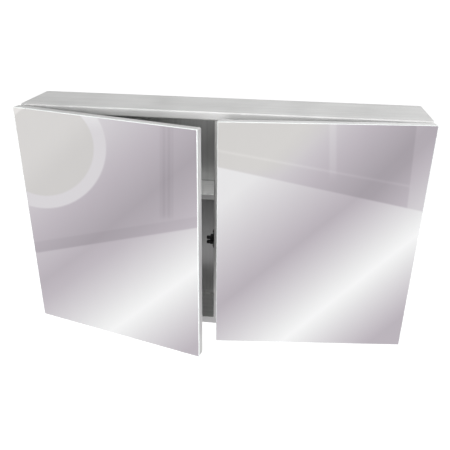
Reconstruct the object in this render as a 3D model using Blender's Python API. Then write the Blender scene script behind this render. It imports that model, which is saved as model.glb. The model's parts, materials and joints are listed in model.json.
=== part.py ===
"""A wall-hung mirror cabinet in folded stainless sheet, with two hinged mirror doors.

Units are metres, +Z is up and the doors face -Y. The origin is the centre of the
back panel's rear face, where the cabinet meets the wall.
"""

import math

import bmesh
import bpy
from mathutils import Matrix, Vector

# Casing
WIDTH = 0.800
HEIGHT = 0.492
DEPTH = 0.126
SHEET = 0.001
GAP = 0.0003
LIP = 0.017
HEM = 0.008
REAR_FLANGE = 0.012
FRONT_BEND = 0.003
SMALL_BEND = 0.0015
POST_WIDTH = 0.018

# Shelves and the angles under them
SHELF_TOP = 0.058
SHELF_SETBACK = 0.040
SHELF_LIP = 0.0125
SHELF_HEM = 0.006
SUPPORT_LEG = 0.011
SUPPORT_END = 0.012

# Doors
DOOR_GAP = 0.0042
DOOR_OVERHANG = 0.0016
DOOR_SHORT = 0.0018
MEETING_GAP = 0.003
PAN_DEPTH = 0.0147
PAN_BEND = 0.003
GLASS = 0.004
GLASS_BEVEL = 0.0004
LEFT_OPEN = math.radians(15.09)
RIGHT_OPEN = math.radians(6.15)

# Continuous hinges
AXIS_INSET = 0.001
KNUCKLE_RADIUS = 0.0018
LEAF = 0.0007
HINGE_LENGTH = 0.452
LEAF_WIDTH = 0.0145
KNUCKLES = 11
HINGE_PIN_RADIUS = 0.001
PIN_HEAD = 0.001
CURL_TURN = math.radians(285)

# Roller catches and their strikes
CATCH_HEIGHT = -0.0311
FLANGE_LENGTH = 0.0445
FLANGE_WIDTH = 0.011
FLANGE = 0.0018
FLANGE_SETBACK = 0.009
CATCH_BODY = 0.0060
CATCH_BODY_HEIGHT = 0.0185
CATCH_FRONT = 0.001
CATCH_BODY_DEPTH = 0.014
SPEAR_SLOT = 0.003
SLOT_DEPTH = 0.0115
ROLLER_RADIUS = 0.004
ROLLER_BORE = 0.0013
ROLLER_LENGTH = 0.0066
ROLLER_SPACING = 0.0104
ROLLER_SETBACK = 0.0025
ROLLER_PIN_RADIUS = 0.0012
PIN_HEAD_RADIUS = 0.0024
PIN_HEAD_TOP = 0.0022
SPEAR_WIDTH = 0.006
SPEAR_THICKNESS = 0.0014
SPEAR_LENGTH = 0.0110
BARB_HALF = 0.00095
BARB_START = 0.0039
BARB_WIDEST = 0.0025
STRIKE_PLATE = 0.0012
STRIKE_HEIGHT = 0.034
STRIKE_FIXING = 0.0115

# Small pieces
SCREW_HEAD = 0.0026
SCREW_RIM = 0.0004
SCREW_RISE = 0.0013
RIVET_RISE = 0.001
CATCH_SCREW_SPACING = 0.034
BUMPER_RADIUS = 0.004
BUMPER = 0.0036
BUMPER_STRAIGHT = 0.0012
BUMPER_FROM_END = 0.0095
BUMPER_FROM_EDGE = 0.030

# Wall fixings
HANGER_X = 0.300
HANGER_Z = 0.186
HANGER_WIDTH = 0.044
HANGER_HEIGHT = 0.060
HANGER_PLATE = 0.0015
HANGER_CORNER = 0.006
KEYHOLE_RADIUS = 0.0045
KEYHOLE_SLOT = 0.0023
KEYHOLE_RISE = 0.010
LOWER_HOLE_Z = -0.205
LOWER_HOLE_RADIUS = 0.0025
HANGER_RIVET_Z = 0.023

# Fineness of the curves, and the two sides
BEND_STEPS = 4
CURL_SIDES = 12
ROUND_SIDES = 16
CREASE = math.radians(35)
LEFT = -1
RIGHT = 1

# Worked out from the values above
SIDE = WIDTH / 2
TOP = HEIGHT / 2
FRONT = -DEPTH
FLANGE_REAR = -SHEET - GAP
STORE_REAR = FLANGE_REAR - SHEET - GAP
HALF_POST = POST_WIDTH / 2
AXIS_X = SIDE - AXIS_INSET
AXIS_Y = FRONT - DOOR_GAP / 2
PAN_REAR = -DOOR_GAP / 2
PAN_OUTER = -AXIS_INSET - DOOR_OVERHANG
PAN_INNER = AXIS_X - MEETING_GAP / 2
PAN_HALF_HEIGHT = TOP - DOOR_SHORT


def clear_scene():
    for obj in list(bpy.data.objects):
        bpy.data.objects.remove(obj, do_unlink=True)


def make_material(name, colour, roughness, metallic):
    material = bpy.data.materials.new(name)
    material.use_nodes = True
    shader = material.node_tree.nodes["Principled BSDF"]
    shader.inputs["Base Color"].default_value = (*colour, 1.0)
    shader.inputs["Roughness"].default_value = roughness
    shader.inputs["Metallic"].default_value = metallic
    material.diffuse_color = (*colour, 1.0)
    return material


def new_empty(name, location, turn):
    empty = bpy.data.objects.new(name, None)
    empty.location = location
    empty.rotation_euler = (0.0, 0.0, turn)
    bpy.context.collection.objects.link(empty)
    return empty


def mesh_from(name, shape):
    """Turns a closed bmesh into a mesh whose faces point out."""
    bmesh.ops.recalc_face_normals(shape, faces=shape.faces[:])
    if shape.calc_volume(signed=True) < 0.0:
        bmesh.ops.reverse_faces(shape, faces=shape.faces[:])
    mesh = bpy.data.meshes.new(name)
    shape.to_mesh(mesh)
    shape.free()
    return mesh


def add_solid(name, shape, look, parent, location=(0.0, 0.0, 0.0), smooth=False):
    """Makes one visible object, with a material of its own."""
    mesh = mesh_from(name, shape)
    if smooth:
        mesh.shade_smooth()
        mesh.set_sharp_from_angle(angle=CREASE)
    mesh.materials.append(make_material(name, *look))
    obj = bpy.data.objects.new(name, mesh)
    obj.location = location
    obj.parent = parent
    bpy.context.collection.objects.link(obj)
    return obj


def add_cutter(name, shape, parent=None, location=(0.0, 0.0, 0.0)):
    """Makes a helper that only cuts or joins, and is left out of the model."""
    obj = bpy.data.objects.new(name, mesh_from(name, shape))
    obj.location = location
    obj.parent = parent
    obj.hide_render = True
    obj.display_type = "WIRE"
    bpy.context.collection.objects.link(obj)
    return obj


def combine(target, helper, operation="DIFFERENCE"):
    modifier = target.modifiers.new(helper.name, "BOOLEAN")
    modifier.operation = operation
    modifier.solver = "EXACT"
    modifier.object = helper


def box(low, high):
    """A box between two corners, given in any order."""
    shape = bmesh.new()
    size = [abs(b - a) for a, b in zip(low, high)]
    middle = [(a + b) / 2 for a, b in zip(low, high)]
    place = Matrix.Translation(middle) @ Matrix.Diagonal((*size, 1.0))
    bmesh.ops.create_cube(shape, size=1.0, matrix=place)
    return shape


def extrude(outline, start, end, place):
    """Extrudes a flat outline (u, v) from start to end; place turns (u, v, w) into a point."""
    shape = bmesh.new()
    corners = [shape.verts.new(place(u, v, start)) for u, v in outline]
    face = shape.faces.new(corners)
    made = bmesh.ops.extrude_face_region(shape, geom=[face])["geom"]
    moved = [item for item in made if isinstance(item, bmesh.types.BMVert)]
    shift = Vector(place(0.0, 0.0, end)) - Vector(place(0.0, 0.0, start))
    bmesh.ops.translate(shape, verts=moved, vec=shift)
    return shape


def bevel_edges(shape, width, segments, picks):
    edges = [edge for edge in shape.edges if picks(edge)]
    bmesh.ops.bevel(shape, geom=edges, offset=width, segments=segments, profile=0.5, affect="EDGES")


def turned(profile, sides, place):
    """Turns a profile of (radius, along) points about an axis; place turns (a, b, along) into a point."""
    shape = bmesh.new()
    points = [shape.verts.new((radius, 0.0, along)) for radius, along in profile]
    edges = [shape.edges.new(pair) for pair in zip(points, points[1:])]
    bmesh.ops.spin(
        shape,
        geom=points + edges,
        cent=(0.0, 0.0, 0.0),
        axis=(0.0, 0.0, 1.0),
        angle=2 * math.pi,
        steps=sides,
        use_merge=True,
    )
    bmesh.ops.remove_doubles(shape, verts=shape.verts[:], dist=1e-6)
    for vert in shape.verts:
        vert.co = place(*vert.co)
    return shape


def quarter_bend(corner, before, after, radius):
    """Points on the quarter circle that rounds a right-angled corner."""
    centre = corner - before * radius + after * radius
    points = []
    for step in range(BEND_STEPS + 1):
        angle = math.pi / 2 * step / BEND_STEPS
        points.append(centre - after * radius * math.cos(angle) + before * radius * math.sin(angle))
    return points


def folded_outline(corners, radii, thickness):
    """Section of a sheet folded at right angles, always turning the same way.

    corners follow the sheet's outer face, and radii are the outer radii of its bends.
    """
    corners = [Vector(corner) for corner in corners]
    ways = [(b - a).normalized() for a, b in zip(corners, corners[1:])]
    outer = [corners[0]]
    inner = [corners[0] + ways[1] * thickness]
    for number, radius in enumerate(radii, start=1):
        before = ways[number - 1]
        after = ways[number]
        outer += quarter_bend(corners[number], before, after, radius)
        inside = corners[number] + (after - before) * thickness
        inner += quarter_bend(inside, before, after, radius - thickness)
    outer.append(corners[-1])
    inner.append(corners[-1] - ways[-2] * thickness)
    return outer + inner[::-1]


def rounded_rectangle(x_low, x_high, z_low, z_high, radius):
    """Corner-rounded rectangle in the XZ plane, as (x, z) points."""
    corners = [
        (x_high - radius, z_high - radius, 0.0),
        (x_low + radius, z_high - radius, math.pi / 2),
        (x_low + radius, z_low + radius, math.pi),
        (x_high - radius, z_low + radius, 3 * math.pi / 2),
    ]
    points = []
    for x, z, first in corners:
        for step in range(BEND_STEPS + 1):
            angle = first + math.pi / 2 * step / BEND_STEPS
            points.append((x + radius * math.cos(angle), z + radius * math.sin(angle)))
    return points


def along_x(u, v, w):
    return (w, u, v)


def along_z(u, v, w):
    return (u, v, w)


def trim_end(panel, up, x_low, x_high):
    """Trims the end of an upright panel to fit inside the folded top (up = 1) or bottom panel."""
    inner = TOP - SHEET - GAP
    lip_back = FRONT + SHEET + GAP
    outline = [
        (FRONT - SHEET, TOP - LIP - GAP),
        (lip_back, TOP - LIP - GAP),
        (lip_back, TOP - FRONT_BEND),
        (FRONT + FRONT_BEND, inner),
        (STORE_REAR - SMALL_BEND, inner),
        (STORE_REAR, TOP - FRONT_BEND),
        (STORE_REAR, TOP - REAR_FLANGE - GAP),
        (SHEET, TOP - REAR_FLANGE - GAP),
        (SHEET, TOP + SHEET),
        (FRONT - SHEET, TOP + SHEET),
    ]
    outline = [(y, up * z) for y, z in outline]
    word = "top" if up > 0 else "bottom"
    combine(panel, add_cutter(f"{panel.name}_{word}_trim", extrude(outline, x_low, x_high, along_x)))


def make_level_panel(name, up, look, root):
    """The top (up = 1) or bottom (up = -1) panel: rear flange, sheet, front lip and hem."""
    corners = [
        (FLANGE_REAR, up * (TOP - REAR_FLANGE)),
        (FLANGE_REAR, up * TOP),
        (FRONT, up * TOP),
        (FRONT, up * (TOP - LIP)),
        (FRONT + HEM, up * (TOP - LIP)),
    ]
    outline = folded_outline(corners, (SMALL_BEND, FRONT_BEND, SMALL_BEND), SHEET)
    panel = add_solid(name, extrude(outline, -SIDE, SIDE, along_x), look, root)
    # The hem stops short of the side panels and of the centre post.
    stops = [
        (-SIDE - GAP, -SIDE + LIP + GAP),
        (-HALF_POST - GAP, HALF_POST + GAP),
        (SIDE - LIP - GAP, SIDE + GAP),
    ]
    for number, (low, high) in enumerate(stops):
        lower = (low, FRONT + SHEET, up * (TOP - LIP - GAP))
        upper = (high, FRONT + HEM + GAP, up * (TOP - LIP + SMALL_BEND + GAP))
        combine(panel, add_cutter(f"{name}_hem_stop_{number}", box(lower, upper)))


def make_side_panel(name, side, look, root):
    corners = [
        (side * (SIDE - REAR_FLANGE), FLANGE_REAR),
        (side * SIDE, FLANGE_REAR),
        (side * SIDE, FRONT),
        (side * (SIDE - LIP), FRONT),
        (side * (SIDE - LIP), FRONT + HEM),
    ]
    outline = folded_outline(corners, (SMALL_BEND, SMALL_BEND, SMALL_BEND), SHEET)
    panel = add_solid(name, extrude(outline, -TOP, TOP, along_z), look, root)
    reach = sorted((side * (SIDE + SHEET), side * (SIDE - 2 * LIP)))
    trim_end(panel, 1, *reach)
    trim_end(panel, -1, *reach)


def make_centre_partition(look, root):
    """A channel with its web at the front as the door post, and two walls back to the rear sheet."""
    corners = [
        (-HALF_POST, STORE_REAR),
        (-HALF_POST, FRONT),
        (HALF_POST, FRONT),
        (HALF_POST, STORE_REAR),
    ]
    outline = folded_outline(corners, (SMALL_BEND, SMALL_BEND), SHEET)
    post = add_solid("centre_partition", extrude(outline, -TOP, TOP, along_z), look, root)
    trim_end(post, 1, -POST_WIDTH, POST_WIDTH)
    trim_end(post, -1, -POST_WIDTH, POST_WIDTH)


def keyhole_outline(x, z):
    """A round hole for a screw head, with a narrow slot above it for the screw's shank."""
    half_angle = math.asin(KEYHOLE_SLOT / KEYHOLE_RADIUS)
    first = math.pi / 2 + half_angle
    span = 2 * math.pi - 2 * half_angle
    points = []
    for step in range(ROUND_SIDES + 1):
        angle = first + span * step / ROUND_SIDES
        points.append((x + KEYHOLE_RADIUS * math.cos(angle), z + KEYHOLE_RADIUS * math.sin(angle)))
    top = z + KEYHOLE_RISE
    for step in range(BEND_STEPS * 2 + 1):
        angle = math.pi * step / (BEND_STEPS * 2)
        points.append((x + KEYHOLE_SLOT * math.cos(angle), top + KEYHOLE_SLOT * math.sin(angle)))
    return points


def circle_outline(x, z, radius, sides):
    angles = [2 * math.pi * step / sides for step in range(sides)]
    return [(x + radius * math.cos(angle), z + radius * math.sin(angle)) for angle in angles]


def facing_y(u, v, w):
    return (u, w, v)


def make_back_panel(look, root):
    """The rear sheet; gives back the two keyhole cutters, which also cut the hanger plates."""
    outline = rounded_rectangle(-SIDE + GAP, SIDE - GAP, -TOP + GAP, TOP - GAP, SMALL_BEND)
    panel = add_solid("back_panel", extrude(outline, -SHEET, 0.0, facing_y), look, root)
    keyholes = []
    for word, side in (("left", LEFT), ("right", RIGHT)):
        x = side * HANGER_X
        hole = extrude(keyhole_outline(x, HANGER_Z), -2 * HANGER_PLATE - SHEET, SHEET, facing_y)
        keyhole = add_cutter(f"{word}_keyhole", hole)
        combine(panel, keyhole)
        keyholes.append(keyhole)
        round_hole = circle_outline(x, LOWER_HOLE_Z, LOWER_HOLE_RADIUS, ROUND_SIDES)
        lower = extrude(round_hole, -2 * SHEET, SHEET, facing_y)
        combine(panel, add_cutter(f"{word}_lower_hole", lower))
    return keyholes


def make_hanger_plate(word, side, keyhole, look, root):
    """The doubler over a keyhole; gives back where its rivets sit, as (y, x, middle z)."""
    x = side * HANGER_X
    half_width = HANGER_WIDTH / 2
    half_height = HANGER_HEIGHT / 2
    middle = HANGER_Z + KEYHOLE_RISE / 2
    sides = (x - half_width, x + half_width, middle - half_height, middle + half_height)
    outline = rounded_rectangle(*sides, HANGER_CORNER)
    front = FLANGE_REAR - HANGER_PLATE
    plate = add_solid(f"{word}_hanger_plate", extrude(outline, front, FLANGE_REAR, facing_y), look, root)
    combine(plate, keyhole)
    return front, x, middle


def dome(radius, low, high):
    """Profile of a dome: a quarter ellipse from (radius, low) up to (0, high)."""
    angles = [math.pi / 2 * step / BEND_STEPS for step in range(BEND_STEPS)]
    points = [(radius * math.cos(a), low + (high - low) * math.sin(a)) for a in angles]
    return points + [(0.0, high)]


def make_rivet(name, point, way, look, parent):
    """A low domed head; way is +1 or -1 for the Y direction that it stands out in."""
    profile = [(0.0, 0.0)] + dome(SCREW_HEAD, 0.0, RIVET_RISE)
    shape = turned(profile, CURL_SIDES, lambda a, b, w: (a, way * w, b))
    add_solid(name, shape, look, parent, location=point, smooth=True)


def make_shelf(word, side, look, root):
    """A folded tray: rear flange, flat sheet, front lip and a short hem under it."""
    front = FRONT + SHELF_SETBACK
    corners = [
        (STORE_REAR, SHELF_TOP - REAR_FLANGE),
        (STORE_REAR, SHELF_TOP),
        (front, SHELF_TOP),
        (front, SHELF_TOP - SHELF_LIP),
        (front + SHELF_HEM, SHELF_TOP - SHELF_LIP),
    ]
    outline = folded_outline(corners, (SMALL_BEND, SMALL_BEND, SMALL_BEND), SHEET)
    ends = sorted((side * (HALF_POST + GAP), side * (SIDE - SHEET - GAP)))
    add_solid(f"{word}_shelf", extrude(outline, *ends, along_x), look, root)


def make_shelf_support(name, wall_x, into, look, root):
    """An angle on an upright wall; into is the X direction from the wall into the store."""
    top = SHELF_TOP - SHEET - GAP
    corners = [
        (wall_x + into * GAP, top - SUPPORT_LEG),
        (wall_x + into * GAP, top),
        (wall_x + into * (GAP + SUPPORT_LEG), top),
    ]
    outline = folded_outline(corners, (SMALL_BEND,), SHEET)
    front = FRONT + SHELF_SETBACK + SUPPORT_END
    rear = STORE_REAR - SUPPORT_END
    add_solid(name, extrude(outline, front, rear, facing_y), look, root)


def pan_rings():
    """(inset, height above the rear face) of the pan's section, from its rear sheet round to the inside."""
    outer = []
    inner = []
    for step in range(BEND_STEPS + 1):
        angle = math.pi / 2 * step / BEND_STEPS
        inset = PAN_BEND - PAN_BEND * math.sin(angle)
        rise = PAN_BEND - PAN_BEND * math.cos(angle)
        outer.append((inset, rise))
        inside = PAN_BEND - SHEET
        inset = PAN_BEND - inside * math.sin(angle)
        rise = PAN_BEND - inside * math.cos(angle)
        inner.append((inset, rise))
    return outer + [(0.0, PAN_DEPTH), (SHEET, PAN_DEPTH)] + inner[::-1]


def make_door_pan(name, inward, look, axis):
    """A shallow tray with rolled rear edges, open to the front."""
    shape = bmesh.new()
    rings = []
    for inset, rise in pan_rings():
        x_ends = (PAN_OUTER + inset, PAN_INNER - inset)
        z_end = PAN_HALF_HEIGHT - inset
        radius = max(PAN_BEND - inset, SHEET / 2)
        loop = rounded_rectangle(*x_ends, -z_end, z_end, radius)
        rings.append([shape.verts.new((inward * x, PAN_REAR - rise, z)) for x, z in loop])
    for first, second in zip(rings, rings[1:]):
        for number in range(len(first)):
            after = (number + 1) % len(first)
            shape.faces.new((first[number], first[after], second[after], second[number]))
    shape.faces.new(rings[0])
    shape.faces.new(rings[-1])
    add_solid(name, shape, look, axis, smooth=True)


def make_door_board(name, inward, look, axis):
    """The backing board that fills the pan and carries the glass."""
    inset = SHEET + GAP
    rear = PAN_REAR - PAN_BEND
    front = PAN_REAR - PAN_DEPTH
    x_ends = (PAN_OUTER + inset, PAN_INNER - inset)
    z_end = PAN_HALF_HEIGHT - inset
    loop = rounded_rectangle(*x_ends, -z_end, z_end, PAN_BEND - SHEET)
    outline = [(inward * x, z) for x, z in loop]
    add_solid(name, extrude(outline, front, rear, facing_y), look, axis)


def make_mirror_glass(name, inward, look, axis):
    """Silvered glass over the whole front of the door, with small ground edges."""
    rear = PAN_REAR - PAN_DEPTH - GAP
    low = (inward * PAN_OUTER, rear - GLASS, -PAN_HALF_HEIGHT)
    high = (inward * PAN_INNER, rear, PAN_HALF_HEIGHT)
    shape = box(low, high)
    bevel_edges(shape, GLASS_BEVEL, 1, lambda edge: True)
    add_solid(name, shape, look, axis)


def curl_outline(way):
    """Section of a hinge leaf: a flat, then a curl once round the pin.

    way is +1 for the leaf on the casing side of the axis and -1 for the leaf on the door side.
    """
    inner_radius = KNUCKLE_RADIUS - LEAF
    outer = [(LEAF_WIDTH, KNUCKLE_RADIUS)]
    inner = [(LEAF_WIDTH, inner_radius)]
    for step in range(CURL_SIDES + 1):
        angle = math.pi / 2 + CURL_TURN * step / CURL_SIDES
        across = math.cos(angle)
        up = math.sin(angle)
        outer.append((KNUCKLE_RADIUS * across, KNUCKLE_RADIUS * up))
        inner.append((inner_radius * across, inner_radius * up))
    return [(x, way * y) for x, y in outer + inner[::-1]]


def make_hinge_leaf(name, inward, way, look, parent, location):
    """One leaf of the continuous hinge, with every other knuckle cut away."""
    half = HINGE_LENGTH / 2
    pitch = HINGE_LENGTH / KNUCKLES
    outline = [(inward * x, y) for x, y in curl_outline(way)]
    leaf = add_solid(name, extrude(outline, -half, half, along_z), look, parent, location)
    # The casing's leaf keeps the even knuckles, the door's leaf the odd ones.
    first = 1 if way > 0 else 0
    reach = KNUCKLE_RADIUS + GAP
    for number in range(first, KNUCKLES, 2):
        low = -half + number * pitch - GAP / 2
        high = low + pitch + GAP
        notch = box((-reach, -reach, low), (reach, reach, high))
        combine(leaf, add_cutter(f"{name}_notch_{number}", notch, parent, location))


def make_hinge_pin(name, look, parent, location):
    half = HINGE_LENGTH / 2 + GAP
    head = half + PIN_HEAD
    profile = [
        (0.0, -head),
        (KNUCKLE_RADIUS, -head),
        (KNUCKLE_RADIUS, -half),
        (HINGE_PIN_RADIUS, -half),
        (HINGE_PIN_RADIUS, half),
        (KNUCKLE_RADIUS, half),
        (KNUCKLE_RADIUS, head),
        (0.0, head),
    ]
    shape = turned(profile, CURL_SIDES, along_z)
    add_solid(name, shape, look, parent, location, smooth=True)


def flange_outline():
    """The catch's base: straight sides and tapered, rounded ends, as (y, z) about its centre."""
    half_width = FLANGE_WIDTH / 2
    half_length = FLANGE_LENGTH / 2
    straight = half_length - FLANGE_WIDTH
    nose = half_width / 2
    points = []
    for up in (1, -1):
        points.append((up * half_width, up * straight))
        for step in range(BEND_STEPS + 1):
            angle = math.pi * step / BEND_STEPS
            y = nose * math.cos(angle)
            z = half_length - nose + nose * math.sin(angle)
            points.append((up * y, up * z))
        points.append((-up * half_width, up * straight))
    return points


def make_catch(word, side, looks, root):
    """A double roller catch on one side face of the centre post."""
    face = side * (HALF_POST + GAP)
    base_end = face + side * FLANGE
    body_end = base_end + side * CATCH_BODY
    middle_y = FRONT + FLANGE_SETBACK
    body_front = FRONT - CATCH_FRONT
    body_rear = body_front + CATCH_BODY_DEPTH
    half_body = CATCH_BODY_HEIGHT / 2
    outline = [(middle_y + y, CATCH_HEIGHT + z) for y, z in flange_outline()]
    base = extrude(outline, face, base_end, along_x)
    housing = add_solid(f"{word}_catch_housing", base, looks["plastic"], root)
    low = (base_end - side * FLANGE / 2, body_front, CATCH_HEIGHT - half_body)
    high = (body_end, body_rear, CATCH_HEIGHT + half_body)
    block = box(low, high)
    bevel_edges(block, SHEET, 2, lambda edge: abs(edge.verts[0].co.x - edge.verts[1].co.x) > SHEET)
    combine(housing, add_cutter(f"{word}_catch_block", block), "UNION")
    slot_low = (base_end, body_front - SHEET, CATCH_HEIGHT - SPEAR_SLOT / 2)
    slot_high = (body_end + side * SHEET, body_front + SLOT_DEPTH, CATCH_HEIGHT + SPEAR_SLOT / 2)
    combine(housing, add_cutter(f"{word}_catch_slot", box(slot_low, slot_high)))
    bore_profile = [(0.0, -CATCH_BODY), (ROLLER_BORE, -CATCH_BODY), (ROLLER_BORE, SHEET), (0.0, SHEET)]
    for level, up in (("upper", 1), ("lower", -1)):
        at_face = (body_end, FRONT + ROLLER_SETBACK, CATCH_HEIGHT + up * ROLLER_SPACING / 2)
        bore = turned(bore_profile, ROUND_SIDES, outward(side))
        combine(housing, add_cutter(f"{word}_{level}_pin_hole", bore, location=at_face))
        make_roller(f"{word}_{level}_roller", side, at_face, looks["roller"], root)
        make_roller_pin(f"{word}_{level}_roller_pin", side, at_face, looks["steel"], root)
        point = (base_end + side * GAP, middle_y, CATCH_HEIGHT + up * CATCH_SCREW_SPACING / 2)
        make_catch_screw(f"{word}_catch_{level}_screw", side, point, looks["screw"], root)


def outward(side):
    """Placing function for turned pieces whose axis runs along X, away from the post."""
    return lambda a, b, w: (side * w, a, b)


def make_roller(name, side, at_face, look, root):
    start = GAP
    end = start + ROLLER_LENGTH
    round_off = SHEET / 2
    profile = [
        (ROLLER_BORE, start),
        (ROLLER_RADIUS - round_off, start),
        (ROLLER_RADIUS, start + round_off),
        (ROLLER_RADIUS, end - round_off),
        (ROLLER_RADIUS - round_off, end),
        (ROLLER_BORE, end),
        (ROLLER_BORE, start),
    ]
    shape = turned(profile, ROUND_SIDES, outward(side))
    add_solid(name, shape, look, root, location=at_face, smooth=True)


def make_roller_pin(name, side, at_face, look, root):
    start = GAP - CATCH_BODY + SHEET
    shoulder = ROLLER_LENGTH + 2 * GAP
    head = shoulder + SHEET
    profile = [
        (0.0, start),
        (ROLLER_PIN_RADIUS, start),
        (ROLLER_PIN_RADIUS, shoulder),
        (PIN_HEAD_RADIUS, shoulder),
        (PIN_HEAD_TOP, head),
        (0.0, head),
    ]
    shape = turned(profile, ROUND_SIDES, outward(side))
    add_solid(name, shape, look, root, location=at_face, smooth=True)


def make_catch_screw(name, side, point, look, root):
    profile = [
        (0.0, 0.0),
        (SCREW_HEAD, 0.0),
        (SCREW_HEAD, SCREW_RIM),
        (SCREW_HEAD / 2, SCREW_RISE),
        (0.0, SCREW_RISE),
    ]
    shape = turned(profile, CURL_SIDES, outward(side))
    add_solid(name, shape, look, root, location=point, smooth=True)


def make_strike(name, inward, look, axis):
    """A spear-shaped strike: a plate on the pan, and a tongue that enters between the rollers."""
    rear = PAN_REAR + GAP
    plate = rear + STRIKE_PLATE
    half = STRIKE_HEIGHT / 2
    thin = SPEAR_THICKNESS / 2
    tip = plate + SPEAR_LENGTH
    outline = [
        (rear, -half),
        (plate, -half),
        (plate, -thin),
        (tip - BARB_START, -thin),
        (tip - BARB_WIDEST, -BARB_HALF),
        (tip, -thin / 2),
        (tip, thin / 2),
        (tip - BARB_WIDEST, BARB_HALF),
        (tip - BARB_START, thin),
        (plate, thin),
        (plate, half),
        (rear, half),
    ]
    outline = [(y, CATCH_HEIGHT + z) for y, z in outline]
    middle = inward * strike_middle()
    ends = (middle - SPEAR_WIDTH / 2, middle + SPEAR_WIDTH / 2)
    add_solid(name, extrude(outline, *ends, along_x), look, axis)


def strike_middle():
    """Distance from the hinge axis to the middle of the rollers, with the door closed."""
    roller_middle = HALF_POST + GAP + FLANGE + CATCH_BODY + GAP + ROLLER_LENGTH / 2
    return AXIS_X - roller_middle


def make_bumper(name, point, look, axis):
    profile = [(0.0, 0.0), (BUMPER_RADIUS, 0.0)] + dome(BUMPER_RADIUS, BUMPER_STRAIGHT, BUMPER)
    shape = turned(profile, CURL_SIDES, lambda a, b, w: (a, w, b))
    add_solid(name, shape, look, axis, location=point, smooth=True)


def make_door(word, side, opening, looks, root):
    """One door and its continuous hinge, on an empty that stands on the hinge axis."""
    inward = -side
    place = (side * AXIS_X, AXIS_Y, 0.0)
    axis = new_empty(f"{word}_door_axis", place, side * opening)
    make_door_pan(f"{word}_door_pan", inward, looks["steel"], axis)
    make_door_board(f"{word}_door_backing_board", inward, looks["board"], axis)
    make_mirror_glass(f"{word}_mirror_glass", inward, looks["mirror"], axis)
    make_hinge_leaf(f"{word}_hinge_door_leaf", inward, -1, looks["steel"], axis, (0.0, 0.0, 0.0))
    make_hinge_leaf(f"{word}_hinge_frame_leaf", inward, 1, looks["steel"], root, place)
    make_hinge_pin(f"{word}_hinge_pin", looks["screw"], root, place)
    make_strike(f"{word}_spear_strike", inward, looks["plastic"], axis)
    rivet_y = PAN_REAR + GAP + STRIKE_PLATE + GAP
    for level, up in (("upper", 1), ("lower", -1)):
        point = (inward * strike_middle(), rivet_y, CATCH_HEIGHT + up * STRIKE_FIXING)
        make_rivet(f"{word}_strike_{level}_rivet", point, 1, looks["screw"], axis)
        bumper_x = inward * (PAN_INNER - BUMPER_FROM_EDGE)
        point = (bumper_x, PAN_REAR + GAP, up * (TOP - BUMPER_FROM_END))
        make_bumper(f"{word}_{level}_bumper", point, looks["rubber"], axis)


def build():
    clear_scene()
    looks = {
        "steel": ((0.62, 0.62, 0.61), 0.32, 1.0),
        "mirror": ((0.86, 0.85, 0.87), 0.02, 1.0),
        "board": ((0.35, 0.24, 0.14), 0.8, 0.0),
        "plastic": ((0.012, 0.012, 0.013), 0.45, 0.0),
        "roller": ((0.02, 0.02, 0.022), 0.35, 0.0),
        "screw": ((0.55, 0.55, 0.56), 0.25, 1.0),
        "rubber": ((0.75, 0.76, 0.76), 0.5, 0.0),
    }
    root = new_empty("cabinet", (0.0, 0.0, 0.0), 0.0)
    make_level_panel("top_panel", 1, looks["steel"], root)
    make_level_panel("bottom_panel", -1, looks["steel"], root)
    make_centre_partition(looks["steel"], root)
    keyholes = make_back_panel(looks["steel"], root)
    for (word, side), opening, keyhole in zip(
        (("left", LEFT), ("right", RIGHT)), (LEFT_OPEN, RIGHT_OPEN), keyholes
    ):
        make_side_panel(f"{word}_side_panel", side, looks["steel"], root)
        make_shelf(word, side, looks["steel"], root)
        outer_wall = side * (SIDE - SHEET)
        make_shelf_support(f"{word}_shelf_outer_support", outer_wall, -side, looks["steel"], root)
        inner_wall = side * HALF_POST
        make_shelf_support(f"{word}_shelf_inner_support", inner_wall, side, looks["steel"], root)
        front, x, middle = make_hanger_plate(word, side, keyhole, looks["screw"], root)
        for level, up in (("upper", 1), ("lower", -1)):
            point = (x, front - GAP, middle + up * HANGER_RIVET_Z)
            make_rivet(f"{word}_hanger_{level}_rivet", point, -1, looks["screw"], root)
        make_catch(word, side, looks, root)
        make_door(word, side, opening, looks, root)


build()
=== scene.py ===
import bmesh
import bpy
import json
import math
import numpy as np
from mathutils import Matrix, Vector


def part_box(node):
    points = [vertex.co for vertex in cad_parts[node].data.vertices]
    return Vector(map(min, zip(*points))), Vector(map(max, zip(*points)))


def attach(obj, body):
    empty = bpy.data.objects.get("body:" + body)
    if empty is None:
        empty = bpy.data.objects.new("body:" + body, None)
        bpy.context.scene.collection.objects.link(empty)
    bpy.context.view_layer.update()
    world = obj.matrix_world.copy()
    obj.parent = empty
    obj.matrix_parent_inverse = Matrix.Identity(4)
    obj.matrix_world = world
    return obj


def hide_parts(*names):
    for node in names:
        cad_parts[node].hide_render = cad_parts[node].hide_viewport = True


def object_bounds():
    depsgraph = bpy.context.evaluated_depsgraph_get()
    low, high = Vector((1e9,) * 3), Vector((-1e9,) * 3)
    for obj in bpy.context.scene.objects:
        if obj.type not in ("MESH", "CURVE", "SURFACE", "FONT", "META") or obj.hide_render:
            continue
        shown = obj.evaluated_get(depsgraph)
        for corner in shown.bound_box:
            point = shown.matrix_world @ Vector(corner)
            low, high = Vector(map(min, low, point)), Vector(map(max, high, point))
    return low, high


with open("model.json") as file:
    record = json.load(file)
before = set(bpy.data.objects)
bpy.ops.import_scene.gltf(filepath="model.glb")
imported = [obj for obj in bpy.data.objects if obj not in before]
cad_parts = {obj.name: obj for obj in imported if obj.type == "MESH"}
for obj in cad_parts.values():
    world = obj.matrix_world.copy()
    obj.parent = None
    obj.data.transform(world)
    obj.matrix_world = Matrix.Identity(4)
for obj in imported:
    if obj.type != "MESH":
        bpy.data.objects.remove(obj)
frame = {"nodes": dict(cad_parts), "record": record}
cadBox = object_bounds()
record = frame["record"]
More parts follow.
